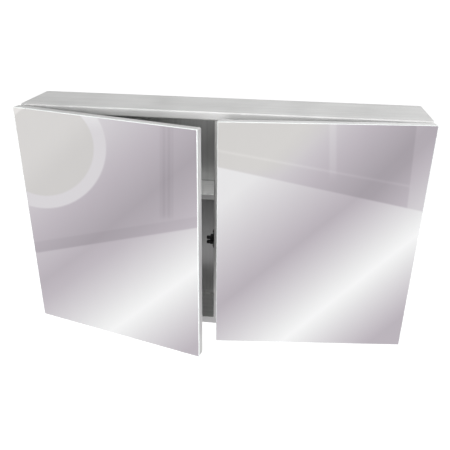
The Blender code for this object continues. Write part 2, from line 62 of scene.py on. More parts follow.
nodes = frame["nodes"]
joints = {joint["name"]: joint for joint in record["behaviour"]["joints"]}
slotOf = {part["node"]: part["material_slot"] for part in record["subparts"]}
sideSign = {"left": -1.0, "right": 1.0}
print("frame loaded:", len(nodes), "nodes")

# the eye stands a little right of the middle, above the cabinet, and looks down on it
eyeSetup = {
    "place": (0.1398, -1.1485, 0.4942),
    "yaw": -6.973,
    "pitch": 25.317,
    "roll": 0.8095,
    "lens": 43.28,
    "sensor": 36.0,
    "farthest": 60.0,
}


# the eye's right, up and forward: yaw turns it about the upright, pitch tips it down, roll leans it over
def eyeAxes():
    yaw, pitch, roll = (math.radians(eyeSetup[key]) for key in ("yaw", "pitch", "roll"))
    forward = Vector((math.sin(yaw) * math.cos(pitch), math.cos(yaw) * math.cos(pitch), -math.sin(pitch)))
    level = Vector((math.cos(yaw), -math.sin(yaw), 0.0))
    upward = level.cross(forward)
    right = level * math.cos(roll) + upward * math.sin(roll)
    up = upward * math.cos(roll) - level * math.sin(roll)
    return right, up, forward


def makeCamera():
    right, up, forward = eyeAxes()
    data = bpy.data.cameras.new("camera")
    data.lens = eyeSetup["lens"]
    data.sensor_width = eyeSetup["sensor"]
    data.clip_end = eyeSetup["farthest"]
    camera = bpy.data.objects.new("camera", data)
    turn = Matrix((right, up, -forward)).transposed().to_4x4()
    camera.matrix_world = Matrix.Translation(eyeSetup["place"]) @ turn
    bpy.context.scene.collection.objects.link(camera)
    bpy.context.scene.camera = camera


makeCamera()
bpy.context.scene.view_settings.view_transform = "Standard"
print("camera placed")


# shorthands for building a material or the world from nodes
def newMaterial(name):
    material = bpy.data.materials.new(name)
    material.use_nodes = True
    tree = material.node_tree
    return material, tree, tree.nodes["Principled BSDF"]


def addNode(tree, kind, inputs=None, **settings):
    node = tree.nodes.new("ShaderNode" + kind)
    for key, value in settings.items():
        setattr(node, key, value)
    for key, value in (inputs or {}).items():
        if isinstance(value, bpy.types.NodeSocket):
            tree.links.new(value, node.inputs[key])
        else:
            node.inputs[key].default_value = value
    return node


def ramp(tree, source, stops):
    node = addNode(tree, "ValToRGB", {"Fac": source})
    elements = node.color_ramp.elements
    while len(elements) < len(stops):
        elements.new(0.5)
    for element, (place, colour) in zip(elements, stops):
        element.position = place
        element.color = (*colour, 1.0)
    return node.outputs["Color"]


def greyStops(pairs):
    return [(place, (value, value, value)) for place, value in pairs]


# a value carried from one span to another
def spread(tree, value, start, end):
    node = addNode(tree, "MapRange", {
        "Value": value, "From Min": start[0], "From Max": start[1], "To Min": end[0], "To Max": end[1]})
    return node.outputs["Result"]


def combine(tree, operation, first, second):
    return addNode(tree, "Math", {0: first, 1: second}, operation=operation).outputs[0]


def noise(tree, vector, scale, detail, roughness=0.5):
    node = addNode(tree, "TexNoise", {
        "Vector": vector, "Scale": scale, "Detail": detail, "Roughness": roughness})
    return node.outputs["Fac"]


def addBump(tree, shader, height, depth, strength):
    bump = addNode(tree, "Bump", {"Height": height, "Distance": depth, "Strength": strength})
    tree.links.new(bump.outputs["Normal"], shader.inputs["Normal"])


def shaded(tone, share):
    return tuple(min(1.0, channel * share) for channel in tone)


unit = (0.0, 1.0)

# brushed sheet: fine scratches and broad faint streaks along one axis, over soft cloudy patches
steelFinish = {
    "tone": (0.70, 0.70, 0.69),
    "scratchesPerMetre": 2600.0,
    "scratchesAlong": 14.0,
    "streaksPerMetre": 190.0,
    "streaksAlong": 2.5,
    "patchesPerMetre": 9.0,
    "patchStrength": 1.2,
    "darker": 0.104,
    "lighter": 0.0832,
    "toneSpan": (0.95, 2.25),
    "glossSpan": (0.7, 1.3),
    "scratchDepth": 0.000008,
    "bumpStrength": 0.6,
    "anisotropy": 0.4,
}


def brushedSteel(name, along, tone=None, rough=(0.36, 0.46)):
    material, tree, shader = newMaterial(name)
    colour = tone or steelFinish["tone"]
    place = addNode(tree, "TexCoord").outputs["Object"]

    def stretched(across, lengthwise):
        scale = [across, across, across]
        scale["XYZ".index(along)] = lengthwise
        return addNode(tree, "Mapping", {"Vector": place, "Scale": scale}).outputs["Vector"]

    scratchWay = stretched(steelFinish["scratchesPerMetre"], steelFinish["scratchesAlong"])
    streakWay = stretched(steelFinish["streaksPerMetre"], steelFinish["streaksAlong"])
    fine = noise(tree, scratchWay, 1.0, 3.0, 0.7)
    streak = noise(tree, streakWay, 1.0, 2.0)
    patch = noise(tree, place, steelFinish["patchesPerMetre"], 2.0)
    both = combine(tree, "ADD", streak, fine)
    cloudy = combine(tree, "MULTIPLY", patch, steelFinish["patchStrength"])
    sheen = spread(tree, combine(tree, "ADD", both, cloudy), steelFinish["toneSpan"], unit)
    tint = ramp(tree, sheen, [
        (0.25, shaded(colour, 1.0 - steelFinish["darker"])),
        (0.5, colour),
        (0.75, shaded(colour, 1.0 + steelFinish["lighter"])),
    ])
    tree.links.new(tint, shader.inputs["Base Color"])
    tree.links.new(spread(tree, both, steelFinish["glossSpan"], rough), shader.inputs["Roughness"])
    addBump(tree, shader, fine, steelFinish["scratchDepth"], steelFinish["bumpStrength"])
    shader.inputs["Metallic"].default_value = 1.0
    shader.inputs["Anisotropic"].default_value = steelFinish["anisotropy"]
    tangent = addNode(tree, "Tangent", direction_type="RADIAL", axis=along)
    tree.links.new(tangent.outputs["Tangent"], shader.inputs["Tangent"])
    return material


# silvered glass: a barely grey body with faint wiping marks
mirrorFinish = {
    "tone": (0.972, 0.972, 0.972),
    "wiped": 0.992,
    "wipesPerMetre": 26.0,
    "wipeStretch": (1.0, 1.0, 0.3),
    "wipeSlant": (0.0, 0.5, 0.0),
}


def silveredGlass():
    material, tree, shader = newMaterial("silveredGlass")
    place = addNode(tree, "TexCoord").outputs["Object"]
    swept = addNode(tree, "Mapping", {
        "Vector": place, "Scale": mirrorFinish["wipeStretch"], "Rotation": mirrorFinish["wipeSlant"]})
    wipes = noise(tree, swept.outputs["Vector"], mirrorFinish["wipesPerMetre"], 4.0, 0.6)
    tone = mirrorFinish["tone"]
    tint = ramp(tree, wipes, [(0.35, shaded(tone, mirrorFinish["wiped"])), (0.65, tone)])
    tree.links.new(tint, shader.inputs["Base Color"])
    shader.inputs["Roughness"].default_value = 0.0    # dead sharp, or the soft boxes would show in it
    shader.inputs["Metallic"].default_value = 1.0
    return material


# the glass's ground edge: pale, faintly green, with fine wheel marks
edgeFinish = {
    "tone": (0.70, 0.73, 0.72),
    "marked": 0.95,
    "roughness": (0.20, 0.34),
    "wheelMarks": 900.0,
    "markDepth": 0.00003,
    "bumpStrength": 0.5,
    "coat": 0.2,
    "coatRoughness": 0.05,
}


def groundEdge():
    material, tree, shader = newMaterial("groundEdge")
    place = addNode(tree, "TexCoord").outputs["Object"]
    marks = noise(tree, place, edgeFinish["wheelMarks"], 2.0)
    tone = edgeFinish["tone"]
    tint = ramp(tree, marks, [(0.3, shaded(tone, edgeFinish["marked"])), (0.7, tone)])
    tree.links.new(tint, shader.inputs["Base Color"])
    tree.links.new(spread(tree, marks, unit, edgeFinish["roughness"]), shader.inputs["Roughness"])
    addBump(tree, shader, marks, edgeFinish["markDepth"], edgeFinish["bumpStrength"])
    shader.inputs["Coat Weight"].default_value = edgeFinish["coat"]
    shader.inputs["Coat Roughness"].default_value = edgeFinish["coatRoughness"]
    return material


# plain solids with a fine grain: name, dark tone, light tone, roughness range, share of metal, grains per
# metre and depth of grain
grainedFinishes = {
    "backing_board": ("pressedBoard", (0.27, 0.18, 0.10), (0.42, 0.30, 0.18), (0.70, 0.95), 0.0,
                      420.0, 0.0001),
    "pin_steel": ("turnedPin", (0.55, 0.55, 0.54), (0.70, 0.70, 0.69), (0.14, 0.26), 1.0,
                  1200.0, 0.00001),
    "black_plastic": ("blackMoulding", (0.003, 0.003, 0.004), (0.008, 0.008, 0.009), (0.42, 0.58), 0.0,
                      2600.0, 0.00002),
    "roller_nylon": ("blackNylon", (0.003, 0.003, 0.004), (0.007, 0.007, 0.008), (0.28, 0.40), 0.0,
                     1500.0, 0.00001),
    "black_screw": ("blackenedScrew", (0.012, 0.012, 0.014), (0.035, 0.035, 0.037), (0.26, 0.42), 0.7,
                    1800.0, 0.00001),
    "bumper_rubber": ("clearRubber", (0.62, 0.64, 0.64), (0.74, 0.76, 0.76), (0.30, 0.42), 0.0,
                      500.0, 0.00002),
}
grainStrength = 0.6
rubberClearness = 0.35
plasticShine = 0.22


def grainedFinish(name, low, high, gloss, metallic, grain, depth):
    material, tree, shader = newMaterial(name)
    place = addNode(tree, "TexCoord").outputs["Object"]
    speck = noise(tree, place, grain, 3.0)
    tree.links.new(ramp(tree, speck, [(0.3, low), (0.7, high)]), shader.inputs["Base Color"])
    tree.links.new(spread(tree, speck, unit, gloss), shader.inputs["Roughness"])
    addBump(tree, shader, speck, depth, grainStrength)
    shader.inputs["Metallic"].default_value = metallic
    return material


# zinc plate: crystal patches of slightly different grey, under a fine speck
zincFinish = {
    "low": (0.52, 0.54, 0.56),
    "high": (0.68, 0.70, 0.71),
    "crystalsPerMetre": 260.0,
    "specksPerMetre": 900.0,
    "toneSpan": (0.3, 1.7),
    "glossSpan": (0.0, 2.0),
    "roughness": (0.28, 0.50),
}


def zincPlate():
    material, tree, shader = newMaterial("zincPlate")
    place = addNode(tree, "TexCoord").outputs["Object"]
    crystal = addNode(tree, "TexVoronoi", {"Vector": place, "Scale": zincFinish["crystalsPerMetre"]})
    speck = noise(tree, place, zincFinish["specksPerMetre"], 3.0)
    patch = addNode(tree, "SeparateColor", {"Color": crystal.outputs["Color"]})
    both = combine(tree, "ADD", patch.outputs["Red"], speck)
    span = spread(tree, both, zincFinish["toneSpan"], unit)
    tint = ramp(tree, span, [(0.0, zincFinish["low"]), (1.0, zincFinish["high"])])
    tree.links.new(tint, shader.inputs["Base Color"])
    gloss = spread(tree, both, zincFinish["glossSpan"], zincFinish["roughness"])
    tree.links.new(gloss, shader.inputs["Roughness"])
    shader.inputs["Metallic"].default_value = 1.0
    return material


silvered = silveredGlass()
ground = groundEdge()
steelUpright = brushedSteel("steelUpright", "Z")
# door pans and shelves: the same steel in a lighter tone, painted light
steelPanPaintedLight = brushedSteel("steelPanPaintedLight", "Z", tone=(0.80, 0.80, 0.795), rough=(0.34, 0.44))
steelShelfPaintedLight = brushedSteel("steelShelfPaintedLight", "X", tone=(0.80, 0.80, 0.795), rough=(0.40, 0.50))
looks = {slot: grainedFinish(*values) for slot, values in grainedFinishes.items()}
looks["mirror_glass"] = silvered
looks["brushed_steel"] = brushedSteel("steelAcross", "X")
looks["hinge_steel"] = brushedSteel("steelHinge", "Z", tone=(0.66, 0.66, 0.65), rough=(0.28, 0.38))
looks["zinc_steel"] = zincPlate()
rubber = looks["bumper_rubber"].node_tree.nodes["Principled BSDF"]
rubber.inputs["Transmission Weight"].default_value = rubberClearness
for slot in ("black_plastic", "roller_nylon"):
    shader = looks[slot].node_tree.nodes["Principled BSDF"]
    shader.inputs["Specular IOR Level"].default_value = plasticShine

# each large sheet is brushed its own way, and the one steel is toned per sheet as painted light and shade:
# the rear panel darker as painted shade, the shelves and door pans lighter as painted light, the top and
# bottom a touch darker
sheetFinish = {
    "top_panel": brushedSteel("steelTop", "X", tone=(0.67, 0.67, 0.665), rough=(0.50, 0.62)),
    "bottom_panel": brushedSteel("steelLower", "X", tone=(0.66, 0.66, 0.655)),
    # the rear panel's darker tone is painted shade inside the casing
    "back_panel": brushedSteel("steelRearPaintedShade", "Z", tone=(0.54, 0.545, 0.54)),
    "left_side_panel": steelUpright,
    "right_side_panel": steelUpright,
    "centre_partition": steelUpright,
    "left_shelf": steelShelfPaintedLight,
    "right_shelf": steelShelfPaintedLight,
    "left_door_pan": steelPanPaintedLight,
    "right_door_pan": steelPanPaintedLight,
}
for name, node in nodes.items():
    node.data.materials.clear()
    node.data.materials.append(sheetFinish.get(name, looks[slotOf[name]]))
print("finishes made")


def addObject(name, mesh):
    piece = bpy.data.objects.new(name, mesh)
    bpy.context.scene.collection.objects.link(piece)
    return piece


# a grid surface: rows x columns of points, each quad joining a point to its neighbours right and below
def gridMesh(name, points):
    rows, columns = points.shape[:2]
    mesh = bpy.data.meshes.new(name)
    index = np.arange(rows * columns).reshape(rows, columns)
    corners = [index[:-1, :-1], index[:-1, 1:], index[1:, 1:], index[1:, :-1]]
    quads = np.stack(corners, axis=-1).reshape(-1, 4)
    mesh.vertices.add(rows * columns)
    mesh.vertices.foreach_set("co", points.reshape(-1).astype(np.float32))
    mesh.loops.add(quads.size)
    mesh.loops.foreach_set("vertex_index", quads.reshape(-1).astype(np.int32))
    mesh.polygons.add(len(quads))
    mesh.polygons.foreach_set("loop_start", np.arange(0, quads.size, 4, dtype=np.int32))
    mesh.polygons.foreach_set("loop_total", np.full(len(quads), 4, dtype=np.int32))
    mesh.update(calc_edges=True)
    return mesh


# a white floor far below, which gives light back but isn't seen in any reflection
floorSetup = {
    "drop": 1.5,
    "reach": 14.0,
    "points": 9,
    "tone": (0.93, 0.93, 0.93),
    "glow": 0.35,
    "roughness": 0.9,
}


# the floor: a flat square grid at the object's lowest height less the drop
def makeFloor():
    line = np.linspace(-floorSetup["reach"], floorSetup["reach"], floorSetup["points"])
    u, v = np.meshgrid(line, line)
    points = np.stack([u, v, np.full_like(u, cadBox[0][2] - floorSetup["drop"])], axis=-1)
    floor = addObject("floor", gridMesh("floor", points))
    material, _, shader = newMaterial("floorPaint")
    shader.inputs["Base Color"].default_value = (*floorSetup["tone"], 1)
    shader.inputs["Roughness"].default_value = floorSetup["roughness"]
    shader.inputs["Emission Color"].default_value = (1, 1, 1, 1)
    shader.inputs["Emission Strength"].default_value = floorSetup["glow"]
    floor.data.materials.append(material)
    floor.visible_glossy = False


makeFloor()


# one for light that reaches a rough surface, and the given share for what a true mirror shows of it
def unlessMirrored(tree, share):
    sharp = addNode(tree, "LightPath").outputs["Is Singular Ray"]
    return spread(tree, sharp, unit, (1.0, share))


# the room's light, as places and brightnesses: from straight below to overhead, and from left to right
roomLight = {
    "upwards": [(0.0, 0.40), (0.18, 0.74), (0.32, 1.00), (0.44, 1.02), (0.50, 0.92), (0.60, 0.86),
                (0.72, 0.84), (0.85, 0.92), (1.0, 1.0)],
    "sideways": [(0.0, 0.58), (0.28, 0.65), (0.5, 0.88), (0.54, 0.90), (0.62, 1.14), (0.76, 0.86),
                 (1.0, 0.80)],
    "seen": 1.6,
    "inMirrors": 0.86,
}


# the room's light is its two ramps multiplied; the eye sees plain white behind the object instead
def makeWorld():
    world = bpy.data.worlds.new("studio")
    bpy.context.scene.world = world
    world.use_nodes = True
    tree = world.node_tree
    tree.nodes.clear()
    way = addNode(tree, "TexCoord").outputs["Generated"]
    parts = addNode(tree, "SeparateXYZ", {"Vector": way})
    height = spread(tree, parts.outputs["Z"], (-1.0, 1.0), unit)
    side = spread(tree, parts.outputs["X"], (-1.0, 1.0), unit)
    upwards = ramp(tree, height, greyStops(roomLight["upwards"]))
    sideways = ramp(tree, side, greyStops(roomLight["sideways"]))
    glow = addNode(tree, "Mix", data_type="RGBA", blend_type="MULTIPLY")
    glow.inputs[0].default_value = 1.0
    for socket, value in zip([s for s in glow.inputs if s.type == "RGBA"], (upwards, sideways)):
        tree.links.new(value, socket)
    studioGlow = addNode(tree, "Background", {"Strength": unlessMirrored(tree, roomLight["inMirrors"])})
    tree.links.new([s for s in glow.outputs if s.type == "RGBA"][0], studioGlow.inputs["Color"])
    plain = addNode(tree, "Background", {"Color": (1, 1, 1, 1), "Strength": roomLight["seen"]})
    seen = addNode(tree, "LightPath").outputs["Is Camera Ray"]
    mix = addNode(tree, "MixShader", {"Fac": seen, 1: studioGlow.outputs[0], 2: plain.outputs[0]})
    out = addNode(tree, "OutputWorld")
    tree.links.new(mix.outputs[0], out.inputs["Surface"])


makeWorld()


# eased step between two levels: 3t^2 - 2t^3, with t running from 0 at low to 1 at high
def smooth(low, high, value):
    t = np.clip((value - low) / (high - low), 0.0, 1.0)
    return t * t * (3.0 - 2.0 * t)


# one between low and high and nothing outside, by an eased step of the given width inside each end
def between(low, high, edge, value):
    return smooth(low, low + edge, value) * smooth(high, high - edge, value)


# a sheet of light that only reflections see: its colour and its solidity come with each point
def makeGlow(name, points, colours, solid, inMirrors=1.0):
    sheet = addObject(name, gridMesh(name, points))
    glow = sheet.data.attributes.new("glow", "FLOAT_COLOR", "POINT")
    values = np.concatenate([colours, solid[..., None]], axis=-1)
    glow.data.foreach_set("color", values.reshape(-1).astype(np.float32))
    material = bpy.data.materials.new(name + "Glow")
    material.use_nodes = True
    tree = material.node_tree
    tree.nodes.clear()
    read = addNode(tree, "Attribute", attribute_name="glow")
    lit = addNode(tree, "Emission", {"Color": read.outputs["Color"]})
    clear = addNode(tree, "BsdfTransparent")
    share = combine(tree, "MULTIPLY", read.outputs["Alpha"], unlessMirrored(tree, inMirrors))
    mix = addNode(tree, "MixShader", {"Fac": share, 1: clear.outputs[0], 2: lit.outputs[0]})
    out = addNode(tree, "OutputMaterial")
    tree.links.new(mix.outputs[0], out.inputs["Surface"])
    sheet.data.materials.append(material)
    sheet.visible_camera = False
    sheet.visible_shadow = False
    sheet.visible_transmission = False
    return sheet


# soft boxes: where each stands, what it faces, half its width and height, and how bright its middle is
softBoxes = {
    "frontPanel": {"place": (-0.5, -2.6, 0.35), "aim": (-0.5, 0.0, 0.35), "half": (2.6, 1.1), "bright": 6.4},
    "fillPanel": {"place": (0.3, -1.7, 0.9), "aim": (0.0, -0.1, 0.0), "half": (1.5, 1.1), "bright": 2.9},
    "overheadPanel": {"place": (0.1, -0.9, 2.2), "aim": (0.0, 0.0, 0.0), "half": (2.2, 1.5), "bright": 1.35},
}
softBoxPoints = 41


# a flat sheet, brightest in its middle, dying away to its rim by an eased step each way
def makeSoftBox(name):
    setup = softBoxes[name]
    place = np.array(setup["place"])
    turn = np.array((Vector(setup["aim"]) - Vector(place)).to_track_quat("-Z", "Y").to_matrix())
    line = np.linspace(-1.0, 1.0, softBoxPoints)
    u, v = np.meshgrid(line, line)
    wide, tall = setup["half"]
    points = place + wide * u[..., None] * turn[:, 0] + tall * v[..., None] * turn[:, 1]
    fall = smooth(1.0, 0.0, np.abs(u)) * smooth(1.0, 0.0, np.abs(v))
    makeGlow(name, points, np.full(points.shape, setup["bright"]), fall, 0.0)


for name in softBoxes:
    makeSoftBox(name)


# a small lamp under the casing's top, for the light that the left door's back throws in
bounceLamp = {
    "place": (-0.07, -0.105, 0.232),
    "aim": (-0.05, 0.0, 0.19),
    "size": (0.10, 0.02),
    "watts": 0.04,
}


def makeBounce():
    data = bpy.data.lights.new("doorBounce", "AREA")
    data.shape = "RECTANGLE"
    data.size, data.size_y = bounceLamp["size"]
    data.energy = bounceLamp["watts"]
    lamp = bpy.data.objects.new("doorBounce", data)
    lamp.location = bounceLamp["place"]
    aim = Vector(bounceLamp["aim"]) - lamp.location
    lamp.rotation_euler = aim.to_track_quat("-Z", "Y").to_euler()
    bpy.context.scene.collection.objects.link(lamp)


makeBounce()
print("studio lit")


# a slanting sheen: each point's distance along one direction, sin a times x plus cos a times y, picks the
# brightness from the stops, in straight steps
def slantGlow(x, y, angle, stops):
    along = math.sin(math.radians(angle)) * x + math.cos(math.radians(angle)) * y
    places, values = zip(*stops)
    return np.interp(along, places, values)


# how far the greys lean to lilac as they darken, and how a warm patch leans to ivory instead
tintSetup = {"start": 236.0, "over": 46.0, "lessGreen": 6.5, "moreBlue": 0.5, "warmth": (1.0, -1.0, -3.0)}


# brightness to red, green and blue: the grey itself, less green for its shade, then the warm share's step
def lilacTint(value, warmth):
    cool = 1.0 - warmth
    shade = np.clip((tintSetup["start"] - value) / tintSetup["over"], 0.0, 1.0)
    warmRed, warmGreen, warmBlue = tintSetup["warmth"]
    red = value + warmRed * warmth
    green = value - tintSetup["lessGreen"] * shade * cool + warmGreen * warmth
    blue = value + tintSetup["moreBlue"] * cool + warmBlue * warmth
    return np.stack([red, green, blue], axis=-1)


# the room that each mirror shows, in metres on its card: x right and y down from the card's middle
# brightness runs to 255, a line is its height in the middle and its slope, and edge is how soft an edge is
leftRoom = {
    "edge": 0.004,
    "lower": (35.5, [(-0.394, 200), (-0.265, 185), (-0.194, 193), (0.089, 245), (0.360, 190),
                     (0.515, 192)]),
    "upper": (39.5, [(-1.006, 232), (-0.873, 226), (-0.740, 214), (-0.629, 204), (-0.318, 172),
                     (-0.230, 179), (-0.074, 198)]),
    "horizon": (-0.007, -0.156),
    "skirting": {"height": 0.049, "darker": 5.5},
    "blind": {"across": (-0.293, -0.226), "edge": 0.009, "slat": 0.022, "foot": (-0.013, -0.049),
              "darker": 10.0, "even": 0.7, "uneven": 0.3},
    "ring": {"centre": (-0.790, -0.337), "outer": 0.266, "inner": 0.211, "edge": 0.0067, "bright": 216.0,
             "brighter": 14.0, "from": (-0.399, -0.510)},
    "disc": {"bright": 214.0, "darker": 8.0, "slant": (0.678, 0.735), "from": (-0.820, -0.665),
             "warm": 0.9},
    "warmCorner": {"across": (-0.665, -0.865), "down": (-0.399, -0.488)},
}
rightRoom = {
    "edge": 0.004,
    "lower": (38.0, [(-0.203, 231), (-0.084, 230), (0.041, 214), (0.267, 185), (0.560, 246), (0.804, 187),
                     (0.994, 190)]),
    "upper": (44.0, [(-0.524, 209), (-0.081, 212), (0.008, 207), (0.319, 167), (0.363, 168), (0.541, 200)]),
    "horizon": (-0.250, 0.217),
    "rail": {"line": (-0.324, 0.186), "half": 0.0058, "brighter": 7.0, "end": (0.834, 0.807)},
    "bar": {"across": (0.457, 0.501), "edge": 0.013, "foot": (-0.177, -0.266), "brighter": 7.0},
    "frame": {"line": (0.799, -0.118), "brighter": 11.0},
    "warmCorner": {"slant": (0.102, -0.098), "down": (-0.177, -0.266)},
}


# slanting sheens above and below the horizon, with a skirting, a slatted blind and a ring lamp laid over the
# upper one: each is a share from nothing to one, made of eased steps, times how much it darkens or lightens
def leftSheen(x, y):
    room = leftRoom
    edge = room["edge"]
    lower = slantGlow(x, y, *room["lower"])
    upper = slantGlow(x, y, *room["upper"])
    horizon = room["horizon"][0] + room["horizon"][1] * x
    skirting = room["skirting"]
    upper = upper - skirting["darker"] * smooth(edge, -edge, horizon - skirting["height"] - y)
    blind = room["blind"]
    start, end = blind["across"]
    slats = blind["even"] + blind["uneven"] * np.cos((x - start) * 2.0 * math.pi / blind["slat"])
    slats = slats * between(start, end, blind["edge"], x)
    upper = upper - blind["darker"] * slats * smooth(*blind["foot"], y)
    ring = room["ring"]
    radius = np.hypot(x - ring["centre"][0], y - ring["centre"][1])
    inRing = smooth(ring["outer"], ring["outer"] - ring["edge"], radius)
    inDisc = smooth(ring["inner"], ring["inner"] - ring["edge"], radius)
    ringGlow = ring["bright"] + ring["brighter"] * smooth(*ring["from"], y)
    upper = upper * (1.0 - inRing) + ringGlow * inRing
    disc = room["disc"]
    slant = disc["slant"][0] * x + disc["slant"][1] * y
    discGlow = disc["bright"] - disc["darker"] * smooth(*disc["from"], slant)
    upper = upper * (1.0 - inDisc) + discGlow * inDisc
    corner = room["warmCorner"]
    warm = np.maximum(inDisc * disc["warm"], smooth(*corner["across"], x) * smooth(*corner["down"], y))
    below = smooth(-edge, edge, y - horizon)
    return lilacTint(upper * (1.0 - below) + lower * below, warm * (1.0 - below))


# the same for the right mirror, with a thin rail (a bell curve across its line), a bar and a pale frame
def rightSheen(x, y):
    room = rightRoom
    edge = room["edge"]
    lower = slantGlow(x, y, *room["lower"])
    upper = slantGlow(x, y, *room["upper"])
    horizon = room["horizon"][0] + room["horizon"][1] * x
    rail = room["rail"]
    railLine = rail["line"][0] + rail["line"][1] * x
    bell = np.exp(-((y - railLine) / rail["half"]) ** 2)
    upper = upper + rail["brighter"] * bell * smooth(*rail["end"], x)
    bar = room["bar"]
    upper = upper + bar["brighter"] * between(*bar["across"], bar["edge"], x) * smooth(*bar["foot"], y)
    frameSide = room["frame"]["line"][0] + room["frame"]["line"][1] * y
    upper = upper + room["frame"]["brighter"] * smooth(-edge, edge, x - frameSide)
    below = smooth(-edge, edge, y - horizon)
    corner = room["warmCorner"]
    warm = smooth(*corner["slant"], x + y) * smooth(*corner["down"], y)
    return lilacTint(upper * (1.0 - below) + lower * below, warm * (1.0 - below))


# across and down, in metres: where a card starts, is first solid, starts to fade again, and ends
# white is the brightness that counts as white, and finish the share of it that a mirror gives back
cardSetup = {
    "reach": 2.4,
    "step": 0.0044,
    "finish": 0.985,
    "white": 255.0,
    "left": {"across": (-1.664, -0.980, -0.084, 0.510), "down": (-1.264, -0.563, 0.617, 1.131),
             "sheen": leftSheen},
    "right": {"across": (-0.599, -0.058, 0.963, 1.752), "down": (-1.264, -0.501, 0.546, 1.131),
              "sheen": rightSheen},
}


# screen brightness to light: (t + 0.055) / 1.055 to the power 2.4, and t / 12.92 for the darkest
def toLight(tone):
    return np.where(tone <= 0.04045, tone / 12.92, ((tone + 0.055) / 1.055) ** 2.4)


# a card stands square to the mirrored eye: its middle is the eye plus the reach forward, and each point is
# that plus x right and y down, all flipped in the door's glass
def makeCard(word):
    setup = cardSetup[word]
    opening = math.radians(-joints[word + "_door_hinge"]["range_deg"][0])
    normal = Vector((sideSign[word] * math.sin(opening), -math.cos(opening), 0.0))
    glass = np.array([v.co for v in nodes[word + "_mirror_glass"].data.vertices])
    point = normal * float((glass @ np.array(normal)).max())

    def flip(v):
        return v - normal * 2.0 * v.dot(normal)

    right, up, forward = (np.array(flip(axis)) for axis in eyeAxes())
    eye = np.array(point + flip(Vector(eyeSetup["place"]) - point))
    across, down = setup["across"], setup["down"]
    step = cardSetup["step"]
    x, y = np.meshgrid(np.arange(across[0], across[3] + step / 2, step),
                       np.arange(down[0], down[3] + step / 2, step))
    points = eye + cardSetup["reach"] * forward + x[..., None] * right - y[..., None] * up
    light = toLight(setup["sheen"](x, y) / cardSetup["white"] / cardSetup["finish"])
    solid = smooth(across[0], across[1], x) * smooth(across[3], across[2], x)
    solid = solid * smooth(down[0], down[1], y) * smooth(down[3], down[2], y)
    makeGlow(word + "Card", points, light, solid).visible_diffuse = False


makeCard("left")
makeCard("right")
print("cards placed")

creaseAngle = 35.0


# rings of points joined into a closed skin; the two ends are capped, or joined when the profile runs round
def shellMesh(name, points, closeRows=False):
    rows, columns = points.shape[:2]
    index = np.arange(rows * columns).reshape(rows, columns)
    index = np.concatenate([index, index[:, :1]], axis=1)
    if closeRows:
        index = np.concatenate([index, index[:1]], axis=0)
    corners = [index[:-1, :-1], index[:-1, 1:], index[1:, 1:], index[1:, :-1]]
    faces = np.stack(corners, axis=-1).reshape(-1, 4).tolist()
    if not closeRows:
        faces += [index[0, -2::-1].tolist(), index[-1, :-1].tolist()]
    mesh = bpy.data.meshes.new(name)
    mesh.from_pydata(points.reshape(-1, 3), [], faces)
    return mesh


# faces turned outwards by the sign of the enclosed volume, then smooth shading up to the crease angle
def finishShell(mesh):
    shape = bmesh.new()
    shape.from_mesh(mesh)
    if shape.calc_volume(signed=True) < 0.0:
        bmesh.ops.reverse_faces(shape, faces=shape.faces[:])
        shape.to_mesh(mesh)
    shape.free()
    mesh.shade_smooth()
    mesh.set_sharp_from_angle(angle=math.radians(creaseAngle))
    # broad flat faces stay dead flat, so a mirror shows no bend near its edge
    sides = np.empty(len(mesh.polygons), dtype=np.int32)
    mesh.polygons.foreach_get("loop_total", sides)
    mesh.polygons.foreach_set("use_smooth", sides <= 4)


def addPiece(name, mesh, materials, body, replaced=None):
    finishShell(mesh)
    piece = addObject(name, mesh)
    for material in materials:
        mesh.materials.append(material)
    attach(piece, body)
    if replaced:
        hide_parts(replaced)


# a door's own directions: u from the hinge pin to the free edge, w outwards through the glass, z up
def doorFrame(word):
    joint = joints[word + "_door_hinge"]
    opening = math.radians(-joint["range_deg"][0])
    sign = sideSign[word]
    along = np.array([-sign * math.cos(opening), -math.sin(opening), 0.0])
    outward = np.array([sign * math.sin(opening), -math.cos(opening), 0.0])
    return np.array(joint["pos_m"]), np.stack([along, outward, np.array([0.0, 0.0, 1.0])])


# a node's points in its door's own directions: each point less the pin, measured along u, w and z
def doorPoints(word, node):
    pin, axes = doorFrame(word)
    mesh = nodes[node].data
    points = np.empty(len(mesh.vertices) * 3)
    mesh.vertices.foreach_get("co", points)
    return (points.reshape(-1, 3) - pin) @ axes.T


def doorBox(word, node):
    local = doorPoints(word, node)
    return local.min(axis=0), local.max(axis=0)


# the way back: the pin plus each point's distances times u, w and z
def onDoor(word, local):
    pin, axes = doorFrame(word)
    return pin + local @ axes


sharpestCorner = 0.00005


# a rectangle with round corners, drawn in by an inset: each corner is a quarter circle that shrinks with it
def roundedLoop(low, high, radius, inset, perCorner):
    quarter = np.linspace(0.0, math.pi / 2, perCorner)
    angle = (np.arange(4)[:, None] * math.pi / 2 + quarter).reshape(-1)
    middle = np.repeat(np.arange(4) * math.pi / 2 + math.pi / 4, perCorner)
    reach = np.maximum(radius - inset, sharpestCorner)
    half = (np.array(high) - np.array(low)) / 2.0 - radius
    centre = (np.array(high) + np.array(low)) / 2.0
    across = centre[0] + np.sign(np.cos(middle)) * half[0] + reach * np.cos(angle)
    tall = centre[1] + np.sign(np.sin(middle)) * half[1] + reach * np.sin(angle)
    return across, tall


glassShape = {"corner": 0.0022, "arris": 0.0011, "arrisSteps": 5, "perCorner": 7, "rearChamfer": 0.0004}


